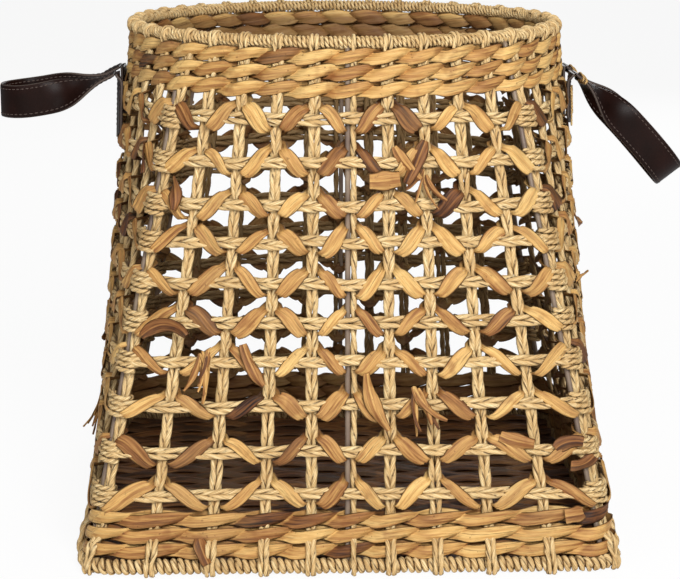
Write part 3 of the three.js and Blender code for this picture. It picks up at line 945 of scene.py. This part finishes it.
LOOSE_LEAVES = [
    (5.45, 292, 1, 22, 7.0, 0.3, 3, 9, 0.85, 2),
    (6.95, 322, -112, 34, 5.5, 0.62, 5, -14, 0.1, 3),
    (6.1, 318, -62, 30, 4.5, 0.38, 4, 20, 0.1, 9),
    (-0.9, 312, -70, 24, 5.0, 0.78, 4, 20, 0.2, 4),
    (0.45, 292, -62, 24, 5.0, 0.6, 4, -20, 0.2, 5),
    (0.28, 174, 52, 44, 5.5, 0.62, 5, -84, 0.1, 6),
    (2.4, 174, -72, 34, 5.0, 0.46, 5, 24, 0.1, 7),
    (5.4, 154, -88, 44, 5.8, 0.3, 9, 36, 0.1, 8),
    (8.3, 104, -24, 25, 6.0, 0.4, 5, 20, 0.5, 2),
    (9.3, 92, 42, 22, 5.6, 0.64, 6, -50, 0.4, 3),
    (9.5, 80, -6, 20, 5.6, 0.6, 8, 60, 0.3, 1),
    (9.3, 43, 8, 14, 6.5, 0.42, 4, 10, 0.7, 4),
    (11.3, 203, 10, 14, 2.4, 0.35, 9, 30, 0.0, 5),
    (1.77, 30, -76, 20, 5.5, 0.55, 3, 20, 0.4, 6),
    (13.4, 243, -40, 26, 4.6, 0.5, 5, 30, 0.1, 7),
    (17.3, 150, -60, 30, 5.0, 0.45, 6, 30, 0.1, 8),
    (24.6, 262, -70, 28, 5.0, 0.4, 5, -30, 0.1, 2),
    (33.2, 128, 20, 30, 5.0, 0.6, 6, -50, 0.2, 3),
]
TUFTS = [(1.6, 168, -82, 9, 21), (6.6, 142, -84, 7, 22), (6.85, 300, -100, 4, 23),
         (27.3, 205, -80, 6, 24), (36.4, 96, -70, 6, 25)]
loose = [loose_leaf(*end) for end in LOOSE_LEAVES]
for end in TUFTS:
    loose += tuft(*end)
piece("loose_leaf_ends", loose, "seagrass_leaf")
print("loose ends:", len(loose))

# %% [markdown]
# ## Leather straps
# Each strap passes through the wall twice, which makes one loop that stands out and two flat
# ends on the wall. A loop turns a quarter on to its edge as it leaves the wall. The left one
# is steep at the wall and level at its end, and the right one droops more and more, so each
# is made straight first and then bent along an arc. LOOPS has each loop's side, its reach in
# mm and its slopes below level, at the wall and at its end.

# %% Strap loops and ends
STRAP_WIDTH = 26.0
STRAP_THICK = 2.6
STRAP_GAP = 56.0
END_LEAN = 0.176
LOOPS = {"left": (-1, 96, (28, 0)), "right": (1, 118, (40, 52))}
HINGES = {joint["name"].split("_")[0]: 1000 * np.array(joint["pos_m"])
          for joint in frame["record"]["behaviour"]["joints"]}


def strap_outline():
    """Flat strap section with round edges, [across, thickness], and its shade: 0 at the
    edges, 1 on the faces. The leather paints a grey highlight where it is 0."""
    half, edge = STRAP_WIDTH / 2, STRAP_THICK / 2
    angle = np.linspace(-np.pi / 2, np.pi / 2, 5)
    right = np.stack([half - edge + edge * np.cos(angle), edge * np.sin(angle)], -1)
    flat = np.linspace(half - edge, edge - half, 9)[1:-1]
    top = np.stack([flat, np.full(len(flat), edge)], -1)
    shade = join([[1, 0.3, 0, 0.3, 1], np.ones(len(flat))])
    return join([right, top, -right, -top]), np.tile(shade, 2)


def straight_loop(reach):
    """Centre line, width direction and face direction of the loop before it is bent. A leg
    turns from flat to on edge with a smooth step between 8 and 62 mm out, and the other one
    mirrors it. Its root reaches half a thickness behind the hinge."""
    radius = STRAP_GAP / 2
    root = -STRAP_THICK / 2 * np.array([1.0, 0.85, 0.5])
    x = join([root, np.linspace(0, reach - radius, 40)])
    turn = smooth((x - 8) / 54) * np.pi / 2
    zero = 0 * x
    leg = (np.stack([x, zero + radius, zero], -1),
           np.stack([zero, -np.cos(turn), np.sin(turn)], -1),
           np.stack([zero, np.sin(turn), np.cos(turn)], -1))
    angle = np.linspace(np.pi / 2, -np.pi / 2, 26)[1:-1]
    out = np.stack([np.cos(angle), np.sin(angle), 0 * angle], -1)
    bend = (np.array([reach - radius, 0, 0]) + radius * out,
            np.broadcast_to(UP, out.shape), out)
    return [join([a, b, a[::-1] * [1, -1, 1]]) for a, b in zip(leg, bend)]


def bent(points, reach, slopes):
    """x becomes length along an arc whose slope goes evenly from first to last, and z stays
    square to it."""
    length, y, above = np.moveaxis(points, -1, 0)
    first, last = (math.radians(s) for s in slopes)
    grid = np.linspace(0, reach, 200)
    slope = first + (last - first) * grid / reach
    run, fall = (join([[0], np.cumsum(part(slope[:-1]) * np.diff(grid))])
                 for part in (np.cos, np.sin))
    at = np.interp(length, grid, slope)
    behind = np.minimum(length, 0)
    x = np.interp(length, grid, run) + behind * np.cos(first)
    z = -np.interp(length, grid, fall) - behind * np.sin(first) + above * np.cos(at)
    return np.stack([x + above * np.sin(at), y, z], -1)


def hung(points, word):
    """Loop points bent and put at the hinge; the left loop is the right one turned round."""
    side, reach, slopes = LOOPS[word]
    return bent(points, reach, slopes) * np.array([side, side, 1.0]) + HINGES[word]


def strap_loop(word, reach):
    """The leather of one loop. Its roots are half round: thickness = sqrt(1 - (x / r)^2)."""
    middle, wide, face = straight_loop(reach)
    outline, shade = strap_outline()
    behind = np.minimum(middle[:, 0], 0) / (STRAP_THICK / 2)
    thick = np.sqrt(np.clip(1 - behind ** 2, 0.01, 1))
    section = outline * np.stack([np.ones_like(thick), thick], -1)[:, None]
    made = skin(middle, wide, face, section[:, ::-1], shade=shade[::-1])
    made["points"] = hung(made["points"], word)
    return made


def end_path(word, end, name):
    """Middle line of a flat end and the way it faces. It faces out of the round wall, a little
    turned from X. In its top 7 mm it comes forward to the loop's root and turns square to it."""
    side = LOOPS[word][0]
    low, high = (1000 * np.array(corner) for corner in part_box(name))
    heights = np.linspace(low[2], high[2] + 1.0, 24)
    share = (heights - low[2]) / (high[2] - low[2])
    inner, outer = (low[0], high[0]) if side > 0 else (high[0], low[0])
    slope = (outer - inner) - side * STRAP_THICK
    room = STRAP_WIDTH / 2 * END_LEAN
    x = inner + side * (STRAP_THICK / 2 - room) + (slope - side * 2.5) * (1 - share)
    forward = smooth((heights - heights[-1] + 7) / 7)
    x = x + (HINGES[word][0] - side * (STRAP_THICK + 0.15) - x) * forward
    lean = END_LEAN * end * (1 - forward)
    path = np.stack([x, np.full_like(x, end * STRAP_GAP / 2), heights], -1)
    return path, np.stack([np.full_like(x, side), lean, 0 * x], -1)


def strap_end(word, end, name):
    """A flat end that lies on the wall, its foot cut on the slant."""
    path, facing = end_path(word, end, name)
    outline, shade = strap_outline()
    made = swept(path, facing, outline, shade=shade)
    slant = np.clip(1 - np.arange(len(path)) / 6, 0, 1)[:, None]
    made["points"][..., 2] += slant * 0.3 * np.abs(made["points"][..., 1] - end * 15)
    return made


# %% [markdown]
# ### Stitches
# A row of stitches runs 3 mm inside each edge, on both faces: a short thread every 4 mm,
# drawn a little thicker than the real 0.5 mm.

# %% Stitches
STITCH_STEP = 4.0
STITCH_LENGTH = 2.8
STITCH_RADIUS = 0.4
SEAM_INSET = 3.0


def stitches(middle, wide, face):
    """Small spindles along the strap: r = R sqrt(cos(pi w) + 0.15), w from -0.5 to 0.5."""
    length = walked(middle)
    ring = STITCH_RADIUS * circle(full_turn(6))
    way = np.linspace(-0.5, 0.5, 5)
    swell = np.sqrt(np.cos(np.pi * way) + 0.15)
    made = []
    for at in np.arange(STITCH_STEP, length[-1] - STITCH_STEP, STITCH_STEP):
        here = at + way * STITCH_LENGTH
        line, across, lift = (np.stack([np.interp(here, length, v[:, k]) for k in range(3)], -1)
                              for v in (middle, wide, face))
        for edge, top in ((-1, -1), (-1, 1), (1, -1), (1, 1)):
            path = (line + edge * (STRAP_WIDTH / 2 - SEAM_INSET) * across
                    + top * (STRAP_THICK / 2) * lift)
            made.append(skin(path, across, lift, swell[:, None, None] * ring[None, ::-1]))
    return made


for word, (_, reach, _) in LOOPS.items():
    piece(f"{word}_strap_loop", [strap_loop(word, reach)], "dark_leather",
          [f"{word}_handle_loop"], f"{word}_handle")
    thread = stitches(*straight_loop(reach))
    for stitch in thread:
        stitch["points"] = hung(stitch["points"], word)
    piece(f"{word}_strap_loop_stitches", thread, "waxed_thread",
          body=f"{word}_handle")
    for end, which in ((-1, "front"), (1, "rear")):
        name = f"{word}_handle_{which}_end"
        piece(f"{name}_strap", [strap_end(word, end, name)], "dark_leather", [name])
        path, facing = (line[3:] for line in end_path(word, end, name))
        across, lift = frame_along(path, facing)
        piece(f"{name}_stitches", stitches(path, across, lift), "waxed_thread")

# %% [markdown]
# Raffia is tied round the right strap just outside the wall and swings with it. Two strings
# hang below each knot, over the flat ends.

# %% Raffia ties
def raffia_ring(end, out):
    """A flattened ring round one leg of the strap, before the loop is bent and hung."""
    angle = full_turn(60)
    ring = np.stack([out + 1.2 * np.cos(2 * angle),
                     end * STRAP_GAP / 2 + 14.2 * np.cos(angle), 2.6 * np.sin(angle)], -1)
    around = np.stack([0 * angle, np.cos(angle), np.sin(angle)], -1)
    made = two_ply(ring, around, 1.2, 7.0, ring=True, tint=0.3, start=out)
    made["points"] = hung(made["points"], "right")
    return made


def raffia_string(end, n):
    """A wavy string down the face of a flat end."""
    share = np.linspace(0, 1, 30)
    across = -8 + 9 * n + 3.5 * np.sin(5 * share + end + 2 * n)
    out = -2.7 - end * END_LEAN * across + 1.2 * share
    line = np.stack([out, end * STRAP_GAP / 2 + across, -10 - (30 - 9 * n) * share], -1)
    return two_ply(HINGES["right"] + line, np.array([1.0, 0, 0]), 0.9, 6.0, tint=0.3, start=n)


piece("right_strap_raffia_ties", [raffia_ring(end, out) for end in (-1, 1) for out in (4.5, 7.5)],
      "split_raffia", body="right_handle")
piece("right_strap_raffia_strings", [raffia_string(end, n) for end in (-1, 1) for n in (0, 1)],
      "split_raffia")
print("straps:", len(LOOPS))

# %% [markdown]
# ## Floor, light and camera
# The floor mostly shows its own white, so that the basket's shadow stays pale. The main
# light is a soft lamp above the camera and to its right, with weaker ones on the left,
# overhead and behind. What the camera sees directly of the world is white.

# %% Studio
WHITE = (1, 1, 1, 1)
FLOOR_GLOW = 0.92
WORLD_LIGHT = 0.13
TARGET = Vector((0, 0, 0.2))


def as_seen(tree, share, hidden, seen, output):
    """The camera sees that share of the second shader, and all other rays only the first."""
    camera = add(tree, "LightPath").outputs["Is Camera Ray"]
    both = add(tree, "MixShader", {0: calc(tree, "MULTIPLY", camera, share),
                                   1: hidden.outputs[0], 2: seen.outputs[0]})
    add(tree, output, {"Surface": both.outputs["Shader"]})


def studio_floor():
    """A wide white plane whose colour is mostly its own."""
    mesh = bpy.data.meshes.new("studio_floor")
    corners = [(-9, -6, 0), (9, -6, 0), (9, 14, 0), (-9, 14, 0)]
    mesh.from_pydata(corners, [], [(0, 1, 2, 3)])
    made = put("studio_floor", mesh)
    tree = new_material("white_floor")
    paint = add(tree, "BsdfDiffuse", {"Color": linear("#F4F4F4")})
    glow = add(tree, "Emission", {"Color": WHITE, "Strength": 1.0})
    as_seen(tree, FLOOR_GLOW, paint, glow, "OutputMaterial")
    mesh.materials.append(materials["white_floor"])


def studio_world():
    """White to the camera, and a weak even light to everything else."""
    scene.world = bpy.data.worlds.new("studio")
    tree = empty_tree(scene.world)
    dim, bright = (add(tree, "Background", {"Color": WHITE, "Strength": strength})
                   for strength in (WORLD_LIGHT, 1.0))
    as_seen(tree, 1.0, dim, bright, "OutputWorld")


def lamp(name, place, size, power):
    """A soft square light that looks at the basket."""
    light = bpy.data.lights.new(name, "AREA")
    light.shape = "RECTANGLE"
    light.size = light.size_y = size
    light.energy = power
    made = put(name, light)
    made.location = place
    made.rotation_euler = (TARGET - Vector(place)).to_track_quat("-Z", "Y").to_euler()


studio_floor()
studio_world()
lamp("key_light", (0.5, -2.2, 1.5), 1.0, 70)
lamp("fill_light", (-1.5, -2.0, 0.9), 1.0, 12)
lamp("top_light", (0.0, 0.2, 2.6), 1.4, 12)
lamp("back_light", (0.6, 2.4, 1.2), 1.0, 16)
scene.view_settings.view_transform = "Standard"

# %% [markdown]
# The camera stands where the photo's perspective puts it: a long lens, 1.6 m in front and
# half a metre up, that looks 12.7 degrees down. The basket is turned 1.7 degrees from square
# on, so the camera goes round it by that angle instead.

# %% Camera
def photo_camera():
    """A roll, a tilt up from straight down, a place, and a turn about the upright axis."""
    turn = Matrix.Rotation(-0.0291, 4, "Z")
    place = Matrix.Translation((0.0014, -1.5970, 0.5302))
    tilt = Matrix.Rotation(math.radians(90 - 12.65), 4, "X")
    roll = Matrix.Rotation(0.0024, 4, "Z")
    lens = bpy.data.cameras.new("photo_camera")
    lens.sensor_fit = "HORIZONTAL"
    lens.sensor_width = 36.0
    lens.lens = 105.24
    lens.shift_x = -0.0081
    made = put("photo_camera", lens)
    made.matrix_world = turn @ place @ tilt @ roll
    scene.camera = made


photo_camera()
